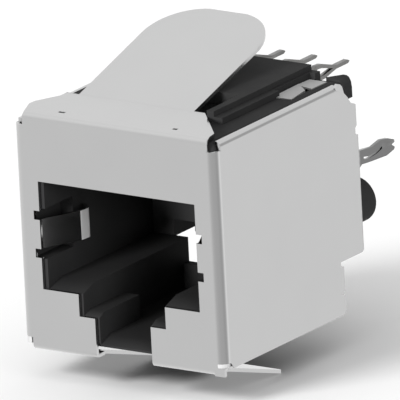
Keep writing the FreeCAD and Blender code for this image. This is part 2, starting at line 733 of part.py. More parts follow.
def cut_side(body, name, sign):
    """Recess behind a grounding leaf and window for a spring clip, on one side."""
    ordered = lambda pair: sorted(pair, key=lambda text: sketch_value(body, text))
    low, high = ordered((f"{sign}(Sizes.shield_width / 2 - Sizes.side_frame - Sizes.cavity_inset - 0.5)",
                         f"{sign}(Sizes.shield_width / 2 - Sizes.leaf_root)"))
    recess = rectangle(body, f"leaf_recess_{name}", "XZ", f"-{FACE}",
                       (low, f"{OPENING} - Sizes.leaf_drop - Sizes.leaf_height - Sizes.leaf_recess_margin"),
                       (high, f"{OPENING} - Sizes.leaf_drop + Sizes.leaf_recess_margin"))
    feature(body, "Pocket", recess, "Sizes.leaf_recess_depth")
    inner = "Sizes.shield_width / 2 - Sizes.window_inset"
    low, high = ordered((f"{sign}({inner})", f"{sign}({inner} + Sizes.window_width)"))
    opening = rectangle(body, f"clip_window_{name}", "XY", LEDGE, (low, "-Sizes.window_back - Sizes.window_length"),
                        (high, "-Sizes.window_back"))
    feature(body, "Pocket", opening, "Sizes.window_depth")


def sketch_value(obj, text):
    """Value of an expression as the document sees it now."""
    return float(obj.evalExpression(text))


def add_peg(body, name, x):
    """Locating peg with a chamfered tip, on a low shoulder that stays clear of the board."""
    shoulder = circle_sketch(body, f"peg_shoulder_{name}", "Sizes.board_gap + 0.5", x, "0",
                             "Sizes.peg_radius + Sizes.peg_shoulder")
    feature(body, "Pad", shoulder, "Sizes.board_gap + 0.5 - Sizes.peg_shoulder_gap", backwards=True)
    peg = circle_sketch(body, f"peg_{name}", "Sizes.board_gap + 0.5", x, "0", "Sizes.peg_radius")
    made = feature(body, "Pad", peg, "Sizes.board_gap + 0.5 + Sizes.peg_length", backwards=True)
    tip = sketch_value(peg, "Sizes.peg_length")
    x_value = sketch_value(peg, x)
    names = [f"Edge{number}" for number, edge in enumerate(made.Shape.Edges, start=1)
             if abs(edge.BoundBox.YMin - tip) < 0.01 and abs(edge.BoundBox.Center.x - x_value) < 0.5]
    chamfer = body.newObject("PartDesign::Chamfer", f"peg_tip_{name}")
    chamfer.Base = (made, names)
    chamfer.setExpression("Size", "Sizes.peg_taper")
    body.Document.recompute()


def add_foot(body, s, name, sign):
    """Standoff foot at the upper corner that meets the board, rounded on its outer top corner."""
    outer, inner = f"{sign}{SIDE}", f"{sign}({SIDE} - Sizes.foot_width)"
    top, radius = f"({OPENING} + Sizes.foot_rise)", "Sizes.foot_radius"
    low = f"{top} - Sizes.foot_height"
    arc = [(f"{outer} - {sign}({across} * {radius})", f"{top} - {down} * {radius}")
           for across, down in ((0, 1), (0.134, 0.5), (0.5, 0.134), (1, 0))]
    root = "Sizes.board_gap + 0.2"
    foot = polygon_sketch(body, f"foot_{name}", "XZ", root, [(inner, low), (outer, low)] + arc + [(inner, top)])
    feature(body, "Pad", foot, root, backwards=True)


def make_carrier(doc, s, contacts):
    """Insert that holds the contacts, with each contact's channel cut to its shape."""
    body = doc.addObject("PartDesign::Body", "carrier_block")
    low = "(Sizes.row_height - Sizes.row_spacing - Sizes.carrier_floor)"
    top = f"({TOP} + Sizes.carrier_rise)"
    tread = f"({top} - Sizes.carrier_step)"
    outer = f"({STEP} - Sizes.carrier_gap)"
    inner = "(Sizes.shield_width / 2 - Sizes.carrier_inset)"
    profile = polygon_sketch(body, "carrier_profile", "XZ", "Sizes.shield_depth - Sizes.carrier_front", [
        (f"-{outer}", low), (outer, low), (outer, tread), (inner, tread),
        (inner, top), (f"-{inner}", top), (f"-{inner}", tread), (f"-{outer}", tread)])
    feature(body, "Pad", profile, "Sizes.shield_depth - Sizes.carrier_front - Sizes.board_gap", backwards=True)
    edge = "Sizes.tongue_centre + Sizes.tongue_width / 2 + Sizes.relief_margin"
    relief = rectangle(body, "tongue_relief", "XY", top, ("-Sizes.shield_width / 2", f"{FRONT}"),
                       (edge, f"{FRONT} + Sizes.relief_back"))
    feature(body, "Pocket", relief, "Sizes.relief_depth")
    for name, sign in (("left", "-"), ("right", "")):
        low_x, high_x = sorted((f"{sign}(Sizes.shield_width / 2 - Sizes.window_inset)", f"{sign}{STEP}"), key=lambda text: sketch_value(body, text))
        window = rectangle(body, f"tread_window_{name}", "XY", tread,
                           (low_x, "-Sizes.window_back - Sizes.window_length"), (high_x, "-Sizes.window_back"))
        feature(body, "Pocket", window, f"{tread} - {LEDGE} + Sizes.window_depth")
    inserts = doc.addObject("Part::Compound", "contact_set")
    inserts.Links = contacts
    carrier = doc.addObject("Part::Cut", "contact_carrier")
    carrier.Base = body
    carrier.Tool = inserts
    return carrier


def make_computed(doc, name, shape):
    """Piece whose folded or stamped shape is worked out from the sheet."""
    piece = doc.addObject("Part::Feature", name)
    piece.Shape = shape
    piece.Placement = Placement(Vector(0, 0, 0), Rotation())
    return piece


def check(doc):
    """Stops at an object that failed."""
    for obj in doc.Objects:
        if "Invalid" in obj.State or "Error" in obj.State:
            raise RuntimeError(f"{obj.Name}: {obj.State}")


def main():
    """Builds every piece, checks it and writes it out."""
    os.makedirs("parts", exist_ok=True)
    doc = FreeCAD.newDocument("board_jack")
    s = Sizes(make_sheet(doc))
    contacts = [make_computed(doc, f"contact_{index + 1}", contact_shape(s, index))
                for index in range(NUMBER_OF_CONTACTS)]
    pieces = [make_computed(doc, "shield", shield_shape(s)), make_housing(doc, s),
              make_carrier(doc, s, contacts)] + contacts
    for name, side in (("left", -1), ("right", 1)):
        pieces.append(make_computed(doc, f"ground_clip_{name}", clip_shape(s, side)))
    doc.recompute()
    check(doc)
    for piece in pieces:
        shape = piece.Shape
        if shape.isNull() or not shape.isValid() or len(shape.Solids) != 1:
            raise RuntimeError(f"{piece.Name}: {len(shape.Solids)} solids, valid {shape.isValid()}")
        piece.Label = piece.Name
        shape.exportStep(f"parts/{piece.Name}.step")
        print(piece.Name, round(shape.Volume, 2), [round(v, 2) for v in (
            shape.BoundBox.XMin, shape.BoundBox.XMax, shape.BoundBox.YMin, shape.BoundBox.YMax,
            shape.BoundBox.ZMin, shape.BoundBox.ZMax)])


main()
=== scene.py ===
"""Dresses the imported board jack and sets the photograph's view.

The shield is one folded sheet of plated metal, the housing and the contact carrier are moulded
plastic, and the contacts are stamped strips with press-fit tails. Lengths are metres, in the
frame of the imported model: Y runs from the opening towards the board and Z is up.
"""

from __future__ import annotations

import logging
import math
from dataclasses import dataclass, field
from enum import Enum

import bmesh
import bpy
from mathutils import Matrix, Vector

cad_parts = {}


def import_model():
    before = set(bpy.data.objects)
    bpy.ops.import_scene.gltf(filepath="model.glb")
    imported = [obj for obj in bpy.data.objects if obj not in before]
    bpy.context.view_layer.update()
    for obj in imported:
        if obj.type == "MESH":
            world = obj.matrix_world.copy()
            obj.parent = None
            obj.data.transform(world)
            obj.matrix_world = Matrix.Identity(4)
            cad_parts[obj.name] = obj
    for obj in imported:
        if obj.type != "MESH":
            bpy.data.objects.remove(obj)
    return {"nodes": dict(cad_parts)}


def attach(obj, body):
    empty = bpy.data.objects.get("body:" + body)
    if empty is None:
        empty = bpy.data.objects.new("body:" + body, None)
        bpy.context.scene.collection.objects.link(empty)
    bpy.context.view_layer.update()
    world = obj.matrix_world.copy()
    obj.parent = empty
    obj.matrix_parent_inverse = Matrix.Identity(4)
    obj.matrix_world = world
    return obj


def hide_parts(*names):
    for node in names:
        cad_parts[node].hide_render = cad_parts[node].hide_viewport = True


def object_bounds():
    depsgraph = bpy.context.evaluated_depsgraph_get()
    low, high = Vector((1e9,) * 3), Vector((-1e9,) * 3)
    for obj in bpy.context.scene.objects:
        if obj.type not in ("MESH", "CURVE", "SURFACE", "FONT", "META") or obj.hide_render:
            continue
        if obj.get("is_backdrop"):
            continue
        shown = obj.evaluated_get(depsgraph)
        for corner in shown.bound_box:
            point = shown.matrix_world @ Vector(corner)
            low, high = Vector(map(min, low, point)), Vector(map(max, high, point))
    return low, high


LOG = logging.getLogger("board_jack")
MM = 0.001
BODY = "root"
SHIELD_SLOT = "shield_metal"
SIDES = (-1.0, 1.0)

Colour = tuple[float, float, float]


@dataclass(frozen=True)
class Span:
    """Range between two values."""

    low: float
    high: float

    def holds(self, value: float) -> bool:
        """Tells whether a value lies in the range."""
        return self.low < value < self.high


class Edge(Enum):
    """How the corners of a piece are broken: width in millimetres and number of segments."""

    SHEARED = (0.035, 2)
    MOULDED = (0.07, 2)
    STAMPED = (0.03, 1)

    @property
    def width(self) -> float:
        """Width of the broken corner in metres."""
        return self.value[0] * MM

    @property
    def segments(self) -> int:
        """Number of faces across the broken corner."""
        return self.value[1]


class GroupNodes:
    """Small builder for a shader node group with named inputs and outputs."""

    def __init__(self, name: str) -> None:
        """Starts an empty group.

        Args:
            name: Name of the group.
        """
        self.tree = bpy.data.node_groups.new(name, "ShaderNodeTree")
        self.entry = self.tree.nodes.new("NodeGroupInput")
        self.exit = self.tree.nodes.new("NodeGroupOutput")

    def add_input(self, name: str, kind: str, value: float | None = None) -> None:
        """Adds an input socket.

        Args:
            name: Name of the socket.
            kind: Socket type without its prefix, such as Float or Color.
            value: Starting value of a float socket.
        """
        made = self.tree.interface.new_socket(
            name, in_out="INPUT", socket_type=f"NodeSocket{kind}")
        if value is not None:
            made.default_value = value

    def add_output(self, name: str, kind: str) -> None:
        """Adds an output socket.

        Args:
            name: Name of the socket.
            kind: Socket type without its prefix.
        """
        self.tree.interface.new_socket(name, in_out="OUTPUT", socket_type=f"NodeSocket{kind}")

    def node(self, kind: str, **values: object) -> bpy.types.Node:
        """Adds a node and sets its properties.

        Args:
            kind: Type of the node without its prefix.
            **values: Properties of the node.

        Returns:
            The new node.
        """
        made = self.tree.nodes.new(f"ShaderNode{kind}")
        for key, value in values.items():
            setattr(made, key, value)
        return made

    def link(self, source: bpy.types.NodeSocket, target: bpy.types.NodeSocket) -> None:
        """Joins two sockets.

        Args:
            source: Output socket.
            target: Input socket.
        """
        self.tree.links.new(source, target)


def build_grain_group() -> bpy.types.NodeTree:
    """Builds the fine surface grain shared by the plated and moulded finishes.

    Returns:
        A group that gives a height for a bump, a roughness and a slow cloud mask.
    """
    group = GroupNodes("surface_grain")
    group.add_input("Grain Size", "Float", 20000.0)
    group.add_input("Cloud Size", "Float", 300.0)
    group.add_input("Roughness", "Float", 0.4)
    group.add_input("Roughness Spread", "Float", 0.05)
    group.add_output("Height", "Float")
    group.add_output("Roughness", "Float")
    group.add_output("Cloud", "Float")
    place = group.node("TexCoord")
    fine = group.node("TexNoise")
    fine.inputs["Detail"].default_value = 3.0
    cloud = group.node("TexNoise")
    cloud.inputs["Detail"].default_value = 2.0
    for noise, socket in ((fine, "Grain Size"), (cloud, "Cloud Size")):
        group.link(place.outputs["Object"], noise.inputs["Vector"])
        group.link(group.entry.outputs[socket], noise.inputs["Scale"])
    centred = group.node("Math", operation="SUBTRACT")
    centred.inputs[1].default_value = 0.5
    group.link(cloud.outputs["Fac"], centred.inputs[0])
    spread = group.node("Math", operation="MULTIPLY_ADD")
    group.link(centred.outputs[0], spread.inputs[0])
    group.link(group.entry.outputs["Roughness Spread"], spread.inputs[1])
    group.link(group.entry.outputs["Roughness"], spread.inputs[2])
    group.link(fine.outputs["Fac"], group.exit.inputs["Height"])
    group.link(spread.outputs[0], group.exit.inputs["Roughness"])
    group.link(cloud.outputs["Fac"], group.exit.inputs["Cloud"])
    return group.tree


def build_shade_group() -> bpy.types.NodeTree:
    """Builds the slow change of shade that plating and moulding leave over a surface.

    Returns:
        A group that mixes two colours by the cloud mask.
    """
    group = GroupNodes("shade_drift")
    group.add_input("Shade A", "Color")
    group.add_input("Shade B", "Color")
    group.add_input("Cloud", "Float", 0.5)
    group.add_output("Color", "Color")
    ramp = group.node("MapRange")
    ramp.inputs["From Min"].default_value = 0.3
    ramp.inputs["From Max"].default_value = 0.7
    mix = group.node("Mix", data_type="RGBA")
    group.link(group.entry.outputs["Cloud"], ramp.inputs["Value"])
    group.link(ramp.outputs["Result"], mix.inputs["Factor"])
    group.link(group.entry.outputs["Shade A"], mix.inputs["A"])
    group.link(group.entry.outputs["Shade B"], mix.inputs["B"])
    group.link(mix.outputs["Result"], group.exit.inputs["Color"])
    return group.tree


def build_border_group() -> bpy.types.NodeTree:
    """Builds the line across a piece where one plating ends and the next begins.

    Returns:
        A group that gives the front colour before the line and the rear colour behind it.
    """
    group = GroupNodes("plating_border")
    group.add_input("Front", "Color")
    group.add_input("Rear", "Color")
    group.add_input("Line", "Float", 0.0)
    group.add_input("Blur", "Float", 0.0002)
    group.add_output("Color", "Color")
    place = group.node("TexCoord")
    split = group.node("SeparateXYZ")
    group.link(place.outputs["Object"], split.inputs[0])
    wander = group.node("TexNoise")
    wander.inputs["Scale"].default_value = 2500.0
    group.link(place.outputs["Object"], wander.inputs["Vector"])
    past = group.node("Math", operation="SUBTRACT")
    group.link(split.outputs["Y"], past.inputs[0])
    group.link(group.entry.outputs["Line"], past.inputs[1])
    across = group.node("Math", operation="DIVIDE")
    group.link(past.outputs[0], across.inputs[0])
    group.link(group.entry.outputs["Blur"], across.inputs[1])
    ragged = group.node("Math", operation="ADD", use_clamp=True)
    group.link(across.outputs[0], ragged.inputs[0])
    group.link(wander.outputs["Fac"], ragged.inputs[1])
    mix = group.node("Mix", data_type="RGBA")
    group.link(ragged.outputs[0], mix.inputs["Factor"])
    group.link(group.entry.outputs["Front"], mix.inputs["A"])
    group.link(group.entry.outputs["Rear"], mix.inputs["B"])
    group.link(mix.outputs["Result"], group.exit.inputs["Color"])
    return group.tree


@dataclass(frozen=True)
class SharedGroups:
    """The node groups that several finishes use."""

    grain: bpy.types.NodeTree
    shade: bpy.types.NodeTree
    border: bpy.types.NodeTree


class Canvas:
    """Material whose Principled shader gets its varying values from the shared groups."""

    def __init__(self, name: str) -> None:
        """Starts a material.

        Args:
            name: Name of the material.
        """
        self.material = bpy.data.materials.new(name)
        self.material.use_nodes = True
        self.nodes = self.material.node_tree.nodes
        self.links = self.material.node_tree.links
        self.shader = self.nodes["Principled BSDF"]

    def place_group(self, tree: bpy.types.NodeTree, **values: object) -> bpy.types.Node:
        """Places a shared group.

        Args:
            tree: The group.
            **values: Socket values, with underscores for the spaces in a socket's name.

        Returns:
            The group's node.
        """
        node = self.nodes.new("ShaderNodeGroup")
        node.node_tree = tree
        for key, value in values.items():
            node.inputs[key.replace("_", " ")].default_value = value
        return node

    def bump(self, height: bpy.types.NodeSocket, strength: float, depth: float) -> None:
        """Feeds a height into the shader's normal.

        Args:
            height: Socket with the height.
            strength: Strength of the bump.
            depth: Real depth in metres.
        """
        node = self.nodes.new("ShaderNodeBump")
        node.inputs["Strength"].default_value = strength
        node.inputs["Distance"].default_value = depth
        self.links.new(height, node.inputs["Height"])
        self.links.new(node.outputs["Normal"], self.shader.inputs["Normal"])

    def split_along_y(self, border: bpy.types.NodeTree,
                      front: bpy.types.NodeSocket | tuple[float, ...],
                      rear: bpy.types.NodeSocket | tuple[float, ...], line: float) -> None:
        """Feeds the base colour with one colour in front of a line and another behind it.

        Args:
            border: The group that draws the line.
            front: Socket or colour towards the opening.
            rear: Socket or colour towards the board.
            line: Place of the line in metres.
        """
        node = self.place_group(border, Line=line)
        for name, value in (("Front", front), ("Rear", rear)):
            if isinstance(value, bpy.types.NodeSocket):
                self.links.new(value, node.inputs[name])
            else:
                node.inputs[name].default_value = value
        self.links.new(node.outputs["Color"], self.shader.inputs["Base Color"])


def opaque(colour: Colour) -> tuple[float, float, float, float]:
    """Gives a colour its alpha."""
    return (*colour, 1.0)


@dataclass(frozen=True)
class PlatedSheet:
    """Satin nickel plating over rolled sheet, whose tails behind the dip line are solder-dipped."""

    light: Colour = (0.575, 0.575, 0.575)
    dark: Colour = (0.565, 0.565, 0.566)
    dipped: Colour = (0.195, 0.195, 0.195)
    dip_line: float = 0.0
    roughness: float = 0.17

    def build(self, groups: SharedGroups) -> bpy.types.Material:
        """Builds the material.

        Args:
            groups: Shared node groups.

        Returns:
            The plated metal.
        """
        canvas = Canvas("satin_plated_sheet")
        canvas.shader.inputs["Metallic"].default_value = 1.0
        grain = canvas.place_group(groups.grain, Grain_Size=30000.0, Cloud_Size=260.0,
                                   Roughness=self.roughness, Roughness_Spread=0.04)
        shade = canvas.place_group(groups.shade, Shade_A=opaque(self.light),
                                   Shade_B=opaque(self.dark))
        canvas.links.new(grain.outputs["Cloud"], shade.inputs["Cloud"])
        canvas.split_along_y(groups.border, shade.outputs["Color"], opaque(self.dipped),
                             self.dip_line)
        canvas.links.new(grain.outputs["Roughness"], canvas.shader.inputs["Roughness"])
        canvas.bump(grain.outputs["Height"], strength=0.04, depth=0.005 * MM)
        return canvas.material


@dataclass(frozen=True)
class MouldedPlastic:
    """Matte black moulded plastic with a fine spark-eroded texture."""

    light: Colour = (0.0245, 0.0245, 0.0245)
    dark: Colour = (0.0215, 0.0215, 0.022)
    roughness: float = 0.6
    gloss: float = 0.03

    def build(self, groups: SharedGroups) -> bpy.types.Material:
        """Builds the material.

        Args:
            groups: Shared node groups.

        Returns:
            The moulded plastic.
        """
        canvas = Canvas("matte_black_moulding")
        canvas.shader.inputs["Specular IOR Level"].default_value = self.gloss
        grain = canvas.place_group(groups.grain, Grain_Size=7000.0, Cloud_Size=350.0,
                                   Roughness=self.roughness, Roughness_Spread=0.08)
        shade = canvas.place_group(groups.shade, Shade_A=opaque(self.light),
                                   Shade_B=opaque(self.dark))
        canvas.links.new(grain.outputs["Cloud"], shade.inputs["Cloud"])
        canvas.links.new(shade.outputs["Color"], canvas.shader.inputs["Base Color"])
        canvas.links.new(grain.outputs["Roughness"], canvas.shader.inputs["Roughness"])
        canvas.bump(grain.outputs["Height"], strength=0.3, depth=0.02 * MM)
        return canvas.material


@dataclass(frozen=True)
class MattePlating:
    """Matte plating of the small clips and the corner webs, also painted on the ends of the plug
    leaves as a highlight.
    """

    colour: Colour = (0.42, 0.42, 0.42)
    metal: float = 0.15
    roughness: float = 0.5

    def build(self, groups: SharedGroups) -> bpy.types.Material:
        """Builds the material.

        Args:
            groups: Shared node groups.

        Returns:
            The matte plating.
        """
        canvas = Canvas("matte_clip_plating")
        canvas.shader.inputs["Metallic"].default_value = self.metal
        canvas.shader.inputs["Base Color"].default_value = opaque(self.colour)
        grain = canvas.place_group(groups.grain, Grain_Size=20000.0, Cloud_Size=500.0,
                                   Roughness=self.roughness, Roughness_Spread=0.05)
        canvas.links.new(grain.outputs["Roughness"], canvas.shader.inputs["Roughness"])
        canvas.bump(grain.outputs["Height"], strength=0.05, depth=0.005 * MM)
        return canvas.material


@dataclass(frozen=True)
class PlatedContact:
    """Tin-plated strip with gold on the spring end inside the plug opening."""

    tin_light: Colour = (0.225, 0.223, 0.218)
    tin_dark: Colour = (0.195, 0.193, 0.188)
    gold: Colour = (0.78, 0.56, 0.24)
    gold_end: float = -10.1 * MM
    roughness: float = 0.32

    def build(self, groups: SharedGroups) -> bpy.types.Material:
        """Builds the material.

        Args:
            groups: Shared node groups.

        Returns:
            The plated strip.
        """
        canvas = Canvas("tin_and_gold_strip")
        canvas.shader.inputs["Metallic"].default_value = 1.0
        grain = canvas.place_group(groups.grain, Grain_Size=14000.0, Cloud_Size=900.0,
                                   Roughness=self.roughness, Roughness_Spread=0.08)
        shade = canvas.place_group(groups.shade, Shade_A=opaque(self.tin_light),
                                   Shade_B=opaque(self.tin_dark))
        canvas.links.new(grain.outputs["Cloud"], shade.inputs["Cloud"])
        canvas.split_along_y(groups.border, opaque(self.gold), shade.outputs["Color"],
                             self.gold_end)
        canvas.links.new(grain.outputs["Roughness"], canvas.shader.inputs["Roughness"])
        canvas.bump(grain.outputs["Height"], strength=0.1, depth=0.01 * MM)
        return canvas.material


@dataclass
class SoftenedNode:
    """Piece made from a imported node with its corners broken, which then stands for the node."""

    node: str
    edge: Edge
    slot: str
    sharp_degrees: float = 28.0
    smooth_degrees: float = 50.0
    flat_degrees: float = 0.5
    weld: float = 1e-7
    face_weight: int = 90

    def build(self, source: bpy.types.Object, material: bpy.types.Material) -> bpy.types.Object:
        """Copies the node's faces, breaks its corners and shades it.

        Args:
            source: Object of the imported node.
            material: Finish of the piece.

        Returns:
            The finished piece.
        """
        mesh = self._merged_faces(source)
        piece = bpy.data.objects.new(f"{self.node}_finished", mesh)
        bpy.context.scene.collection.objects.link(piece)
        self._break_corners(piece)
        piece.data.materials.clear()
        piece.data.materials.append(material)
        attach(piece, BODY)
        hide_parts(self.node)
        LOG.info("%s: %d faces", piece.name, len(piece.data.polygons))
        return piece

    def _merged_faces(self, source: bpy.types.Object) -> bpy.types.Mesh:
        """Copies the mesh with its flat triangles merged into whole faces.

        Args:
            source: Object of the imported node.

        Returns:
            A new mesh in the scene's own coordinates.
        """
        mesh = bpy.data.meshes.new(f"{self.node}_faces")
        work = bmesh.new()
        work.from_mesh(source.data)
        work.transform(source.matrix_world)
        bmesh.ops.remove_doubles(work, verts=work.verts, dist=self.weld)
        bmesh.ops.dissolve_limit(work, angle_limit=math.radians(self.flat_degrees),
                                 verts=work.verts, edges=work.edges)
        work.to_mesh(mesh)
        work.free()
        return mesh

    def _break_corners(self, piece: bpy.types.Object) -> None:
        """Bevels the sharp corners, then applies the change.

        Args:
            piece: The piece to bevel.
        """
        bevel = piece.modifiers.new("corners", "BEVEL")
        bevel.limit_method = "ANGLE"
        bevel.angle_limit = math.radians(self.sharp_degrees)
        bevel.width = self.edge.width
        bevel.segments = self.edge.segments
        bevel.use_clamp_overlap = True
        bevel.miter_outer = "MITER_ARC"
        self._bake(piece)
        for polygon in piece.data.polygons:
            polygon.use_smooth = True
        piece.data.set_sharp_from_angle(angle=math.radians(self.smooth_degrees))
        flat = piece.modifiers.new("flat faces", "WEIGHTED_NORMAL")
        flat.mode = "FACE_AREA"
        flat.weight = self.face_weight
        flat.keep_sharp = True
        self._bake(piece)

    @staticmethod
    def _bake(piece: bpy.types.Object) -> None:
        """Writes the piece's modifiers into its mesh.

        Args:
            piece: The piece to bake.
        """
        seen = bpy.context.evaluated_depsgraph_get()
        seen.update()
        baked = bpy.data.meshes.new_from_object(piece.evaluated_get(seen))
        piece.modifiers.clear()
        piece.data = baked


def add_plate(work: bmesh.types.BMesh, near: list[Vector], far: list[Vector],
              material_index: int = 0) -> None:
    """Adds a flat plate between two outlines.

    Args:
        work: Mesh that is being made.
        near: Corners of one face in order.
        far: Corners of the opposite face in the same order.
        material_index: Place of the plate's finish among the materials.
    """
    front, back = ([work.verts.new(corner) for corner in outline] for outline in (near, far))
    faces = [work.faces.new(front), work.faces.new(list(reversed(back)))]
    for index in range(len(front)):
        after = (index + 1) % len(front)
        faces.append(work.faces.new((front[index], back[index], back[after], front[after])))
    for face in faces:
        face.material_index = material_index


def small_metal_piece(work: bmesh.types.BMesh, name: str,
                      *finishes: bpy.types.Material) -> bpy.types.Object:
    """Turns a mesh into a piece of the shield's metal.

    Args:
        work: The mesh, which is freed.
        name: Name of the piece.
        *finishes: Its materials in order.

    Returns:
        The piece.
    """
    bmesh.ops.recalc_face_normals(work, faces=work.faces)
    mesh = bpy.data.meshes.new(name)
    work.to_mesh(mesh)
    work.free()
    for finish in finishes:
        mesh.materials.append(finish)
    piece = bpy.data.objects.new(name, mesh)
    bpy.context.scene.collection.objects.link(piece)
    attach(piece, BODY)
    return piece


@dataclass
class Shield:
    """Folded shield with its spring tongues and the two small clips beside the carrier.

    Lengths without MM are in millimetres, and a pair or a triple gives a corner's place.
    """

    edge: Edge = Edge.SHEARED
    clips: tuple[str, ...] = ("ground_clip_left", "ground_clip_right")
    clip_thickness: float = 0.12 * MM
    # Box in millimetres and facing of the painted highlight on the plug leaves' ends.
    highlight_across: Span = Span(4.7, 5.0)
    highlight_along: Span = Span(-13.75, -12.7)
    highlight_height: Span = Span(0.3, 2.6)
    highlight_facing: float = 0.85
    rear_corner: tuple[tuple[float, float], ...] = (
        (-2.40, 9.30), (-2.07, 9.50), (-1.82, 9.42), (-1.57, 9.20),
        (-1.40, 8.70), (-0.95, 8.25), (-1.00, 8.10), (-2.00, 8.55))
    rear_corner_faces: tuple[float, float] = (7.998, 7.80)
    web_centre: tuple[float, float] = (7.35, -16.0)
    web_radius: float = 0.62
    web_sheet: float = 0.2
    web_steps: int = 6
    web_heights: tuple[float, float] = (-6.16, -5.70)
    clip_leaves: tuple[tuple[tuple[float, float, float], ...], ...] = (
        ((5.38, -5.86, 9.36), (5.44, -2.86, 9.42), (6.52, -3.70, 9.36), (6.80, -5.72, 9.34)),
        ((5.42, -3.05, 9.40), (5.42, -1.56, 9.36), (6.78, -1.53, 9.35), (6.76, -3.30, 9.37)))

    def build(self, nodes: dict[str, bpy.types.Object], material: bpy.types.Material,
              matte: bpy.types.Material) -> list[bpy.types.Object]:
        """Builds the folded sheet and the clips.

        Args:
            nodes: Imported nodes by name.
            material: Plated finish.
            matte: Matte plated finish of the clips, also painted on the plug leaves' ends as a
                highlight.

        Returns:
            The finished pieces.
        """
        sheet = SoftenedNode("shield", self.edge, SHIELD_SLOT).build(nodes["shield"], material)
        self._paint_leaf_end_highlight(sheet, matte)
        web = self._corner_web(matte, material)
        return [sheet, web, *(self._clip(name, matte) for name in self.clips)]

    def _paint_leaf_end_highlight(self, sheet: bpy.types.Object, matte: bpy.types.Material) -> None:
        """Paints a highlight on the ends of the two plug leaves: their inward faces get the lighter
        matte finish, which the rim lamp lights, in place of the bright reflection there.

        Args:
            sheet: The finished shield.
            matte: Matte plated finish.
        """
        sheet.data.materials.append(matte)
        for face in sheet.data.polygons:
            x, y, z = (value / MM for value in face.center)
            inward = -math.copysign(1.0, x) * face.normal.x
            in_leaf_end_highlight = (self.highlight_across.holds(abs(x)) and self.highlight_along.holds(y)
                           and self.highlight_height.holds(z))
            # Painted highlight: inward faces at the leaf ends take the lighter matte finish.
            if in_leaf_end_highlight and inward > self.highlight_facing:
                face.material_index = 1

    def _corner_web(self, matte: bpy.types.Material,
                    plated: bpy.types.Material) -> bpy.types.Object:
        """Fills out the sheet's corners: a web over each ear, and each wall's rear top corner.

        Args:
            matte: Matte plated finish of the webs.
            plated: Satin finish of the rear corners.

        Returns:
            The corners of both sides as one piece.
        """
        work = bmesh.new()
        for side in SIDES:
            self._add_web(work, side)
            outer, inner = ([Vector((side * across, along, height)) * MM
                             for along, height in self.rear_corner]
                            for across in self.rear_corner_faces)
            add_plate(work, outer, inner, material_index=1)
        return small_metal_piece(work, "corner_web", matte, plated)

    def _add_web(self, work: bmesh.types.BMesh, side: float) -> None:
        """Adds the web that closes the corner between the upright bend and the ear.

        Args:
            work: Mesh that is being made.
            side: -1 for the left side, 1 for the right.
        """
        across, along = self.web_centre
        columns = []
        for step in range(self.web_steps + 1):
            angle = math.radians(90.0 * step / self.web_steps)
            columns.append([
                work.verts.new(Vector((side * (across + radius * math.sin(angle)),
                                       along - radius * math.cos(angle), height)) * MM)
                for radius in (self.web_radius, self.web_radius - self.web_sheet)
                for height in self.web_heights])
        for one, two in zip(columns, columns[1:]):
            for low, high in ((0, 1), (1, 3), (3, 2), (2, 0)):
                work.faces.new((one[low], two[low], two[high], one[high]))
        for end in (columns[0], columns[-1]):
            work.faces.new((end[0], end[1], end[3], end[2]))

    def _clip(self, name: str, material: bpy.types.Material) -> bpy.types.Object:
        """Makes a clip as its two spring leaves, which show in the housing's window.

        Args:
            name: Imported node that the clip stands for.
            material: Matte plated finish.

        Returns:
            The finished clip.
        """
        side = -1.0 if name.endswith("left") else 1.0
        drop = Vector((0.0, 0.0, self.clip_thickness))
        work = bmesh.new()
        for leaf in self.clip_leaves:
            top = [Vector((side * x, y, z)) * MM for x, y, z in leaf]
            add_plate(work, top, [corner - drop for corner in top])
        clip = small_metal_piece(work, f"{name}_leaves", material)
        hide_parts(name)
        return clip


@dataclass
class Mouldings:
    """Housing and contact carrier. The places and lengths of the feet are in millimetres."""

    edge: Edge = Edge.MOULDED
    names: tuple[str, ...] = ("housing", "contact_carrier")
    foot_inner: float = 6.1
    foot_outer: float = 7.7
    foot_front: float = -0.66
    foot_low: float = 7.80
    foot_raised: float = 0.20
    foot_width_share: float = 0.45
    foot_height_share: float = 0.91

    def build(self, nodes: dict[str, bpy.types.Object],
              material: bpy.types.Material) -> list[bpy.types.Object]:
        """Builds the moulded pieces.

        Args:
            nodes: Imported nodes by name.
            material: Moulded finish.

        Returns:
            The finished pieces.
        """
        pieces = [SoftenedNode(name, self.edge, "black_plastic").build(nodes[name], material)
                  for name in self.names]
        self._trim_feet(pieces[0])
        return pieces

    def _trim_feet(self, housing: bpy.types.Object) -> None:
        """Narrows and raises the two feet to the small corners that stand behind the side walls.

        Args:
            housing: The finished housing.
        """
        low = self.foot_low * MM
        for vertex in housing.data.vertices:
            spot = vertex.co
            if spot.y < self.foot_front * MM or spot.z < low or abs(spot.x) < self.foot_inner * MM:
                continue
            side = math.copysign(1.0, spot.x)
            outer = side * self.foot_outer * MM
            spot.x = outer + (spot.x - outer) * self.foot_width_share
            spot.z = low + self.foot_raised * MM + (spot.z - low) * self.foot_height_share


@dataclass
class ContactRow:
    """The eight stamped contacts."""

    count: int = 8
    edge: Edge = Edge.STAMPED

    def build(self, nodes: dict[str, bpy.types.Object],
              material: bpy.types.Material) -> list[bpy.types.Object]:
        """Builds the contacts.

        Args:
            nodes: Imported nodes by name.
            material: Plated strip.

        Returns:
            The finished pieces.
        """
        names = [f"contact_{number}" for number in range(1, self.count + 1)]
        return [SoftenedNode(name, self.edge, "contact_metal").build(nodes[name], material)
                for name in names]


